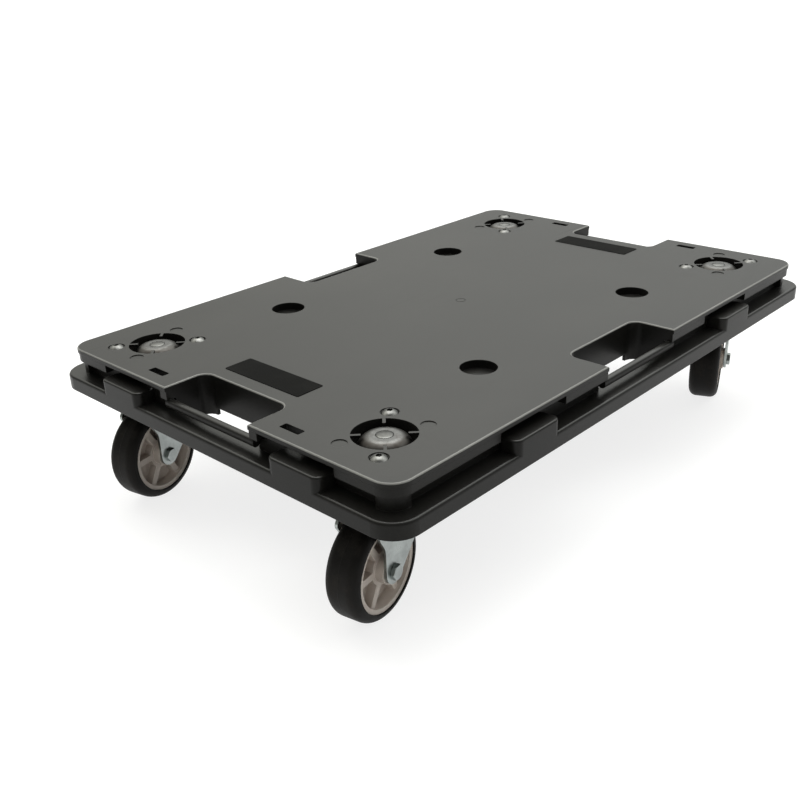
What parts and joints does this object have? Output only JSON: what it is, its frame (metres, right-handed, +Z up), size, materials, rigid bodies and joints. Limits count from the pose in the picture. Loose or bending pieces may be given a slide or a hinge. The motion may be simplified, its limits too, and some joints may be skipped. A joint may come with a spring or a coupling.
{
  "type": "platform dolly",
  "caption": "Low rectangular plastic platform dolly with hand-holds and bumper rail, rolling on swivel casters with rubber-tyred wheels.",
  "frame": {"origin": "on the floor under the middle of the deck", "axes": "+X along the long side towards the front, +Y across to the left, +Z up"},
  "size_m": [0.7463, 0.491, 0.1651],
  "materials": {
    "deck_plastic": "satin moulded, fine grain",
    "pad_rubber": "fine ribbed",
    "zinc_steel": "zinc plated, stamped",
    "bright_steel": "bright plated",
    "wheel_plastic": "moulded",
    "tread": "moulded rubber",
    "bush_plastic": "smooth"
  },
  "bodies": {
    "deck": {"deck_moulding": "deck_plastic", "grip_pad_front": "pad_rubber", "grip_pad_rear": "pad_rubber", "deck_bolts": "bright_steel", "plate_washers": "bright_steel", "plate_nuts": "bright_steel", "caster_plate_front_left": "zinc_steel", "kingpin_front_left": "bright_steel", "race_cup_front_left": "zinc_steel", "caster_plate_front_right": "zinc_steel", "kingpin_front_right": "bright_steel", "race_cup_front_right": "zinc_steel", "caster_plate_rear_left": "zinc_steel", "kingpin_rear_left": "bright_steel", "race_cup_rear_left": "zinc_steel", "caster_plate_rear_right": "zinc_steel", "kingpin_rear_right": "bright_steel", "race_cup_rear_right": "zinc_steel"},
    "swivel_front_left": {"fork_front_left": "zinc_steel", "upper_balls_front_left": "bright_steel", "lower_balls_front_left": "bright_steel", "axle_bolt_front_left": "bright_steel", "axle_nut_front_left": "bright_steel", "axle_sleeve_front_left": "zinc_steel"},
    "wheel_front_left": {"wheel_rim_front_left": "wheel_plastic", "wheel_tyre_front_left": "tread", "wheel_bush_front_left": "bush_plastic"},
    "swivel_front_right": {"fork_front_right": "zinc_steel", "upper_balls_front_right": "bright_steel", "lower_balls_front_right": "bright_steel", "axle_bolt_front_right": "bright_steel", "axle_nut_front_right": "bright_steel", "axle_sleeve_front_right": "zinc_steel"},
    "wheel_front_right": {"wheel_rim_front_right": "wheel_plastic", "wheel_tyre_front_right": "tread", "wheel_bush_front_right": "bush_plastic"},
    "swivel_rear_left": {"fork_rear_left": "zinc_steel", "upper_balls_rear_left": "bright_steel", "lower_balls_rear_left": "bright_steel", "axle_bolt_rear_left": "bright_steel", "axle_nut_rear_left": "bright_steel", "axle_sleeve_rear_left": "zinc_steel"},
    "wheel_rear_left": {"wheel_rim_rear_left": "wheel_plastic", "wheel_tyre_rear_left": "tread", "wheel_bush_rear_left": "bush_plastic"},
    "swivel_rear_right": {"fork_rear_right": "zinc_steel", "upper_balls_rear_right": "bright_steel", "lower_balls_rear_right": "bright_steel", "axle_bolt_rear_right": "bright_steel", "axle_nut_rear_right": "bright_steel", "axle_sleeve_rear_right": "zinc_steel"},
    "wheel_rear_right": {"wheel_rim_rear_right": "wheel_plastic", "wheel_tyre_rear_right": "tread", "wheel_bush_rear_right": "bush_plastic"}
  },
  "joints": [
    {"name": "swivel_turn_front_left", "type": "hinge", "parent": "deck", "child": "swivel_front_left", "pos_m": [0.2975, 0.1655, 0.127], "axis": [0, 0, 1], "continuous": true},
    {"name": "wheel_roll_front_left", "type": "hinge", "parent": "swivel_front_left", "child": "wheel_front_left", "pos_m": [0.2712, 0.15746, 0.05], "axis": [0.2924, -0.9563, 0], "continuous": true},
    {"name": "swivel_turn_front_right", "type": "hinge", "parent": "deck", "child": "swivel_front_right", "pos_m": [0.2975, -0.1655, 0.127], "axis": [0, 0, 1], "continuous": true},
    {"name": "wheel_roll_front_right", "type": "hinge", "parent": "swivel_front_right", "child": "wheel_front_right", "pos_m": [0.27198, -0.17576, 0.05], "axis": [0.373, -0.9278, 0], "continuous": true},
    {"name": "swivel_turn_rear_left", "type": "hinge", "parent": "deck", "child": "swivel_rear_left", "pos_m": [-0.2975, 0.1655, 0.127], "axis": [0, 0, 1], "continuous": true},
    {"name": "wheel_roll_rear_left", "type": "hinge", "parent": "swivel_rear_left", "child": "wheel_rear_left", "pos_m": [-0.32435, 0.15955, 0.05], "axis": [0.2164, -0.9763, 0], "continuous": true},
    {"name": "swivel_turn_rear_right", "type": "hinge", "parent": "deck", "child": "swivel_rear_right", "pos_m": [-0.2975, -0.1655, 0.127], "axis": [0, 0, 1], "continuous": true},
    {"name": "wheel_roll_rear_right", "type": "hinge", "parent": "swivel_rear_right", "child": "wheel_rear_right", "pos_m": [-0.32458, -0.17028, 0.05], "axis": [0.1736, -0.9848, 0], "continuous": true}
  ]
}
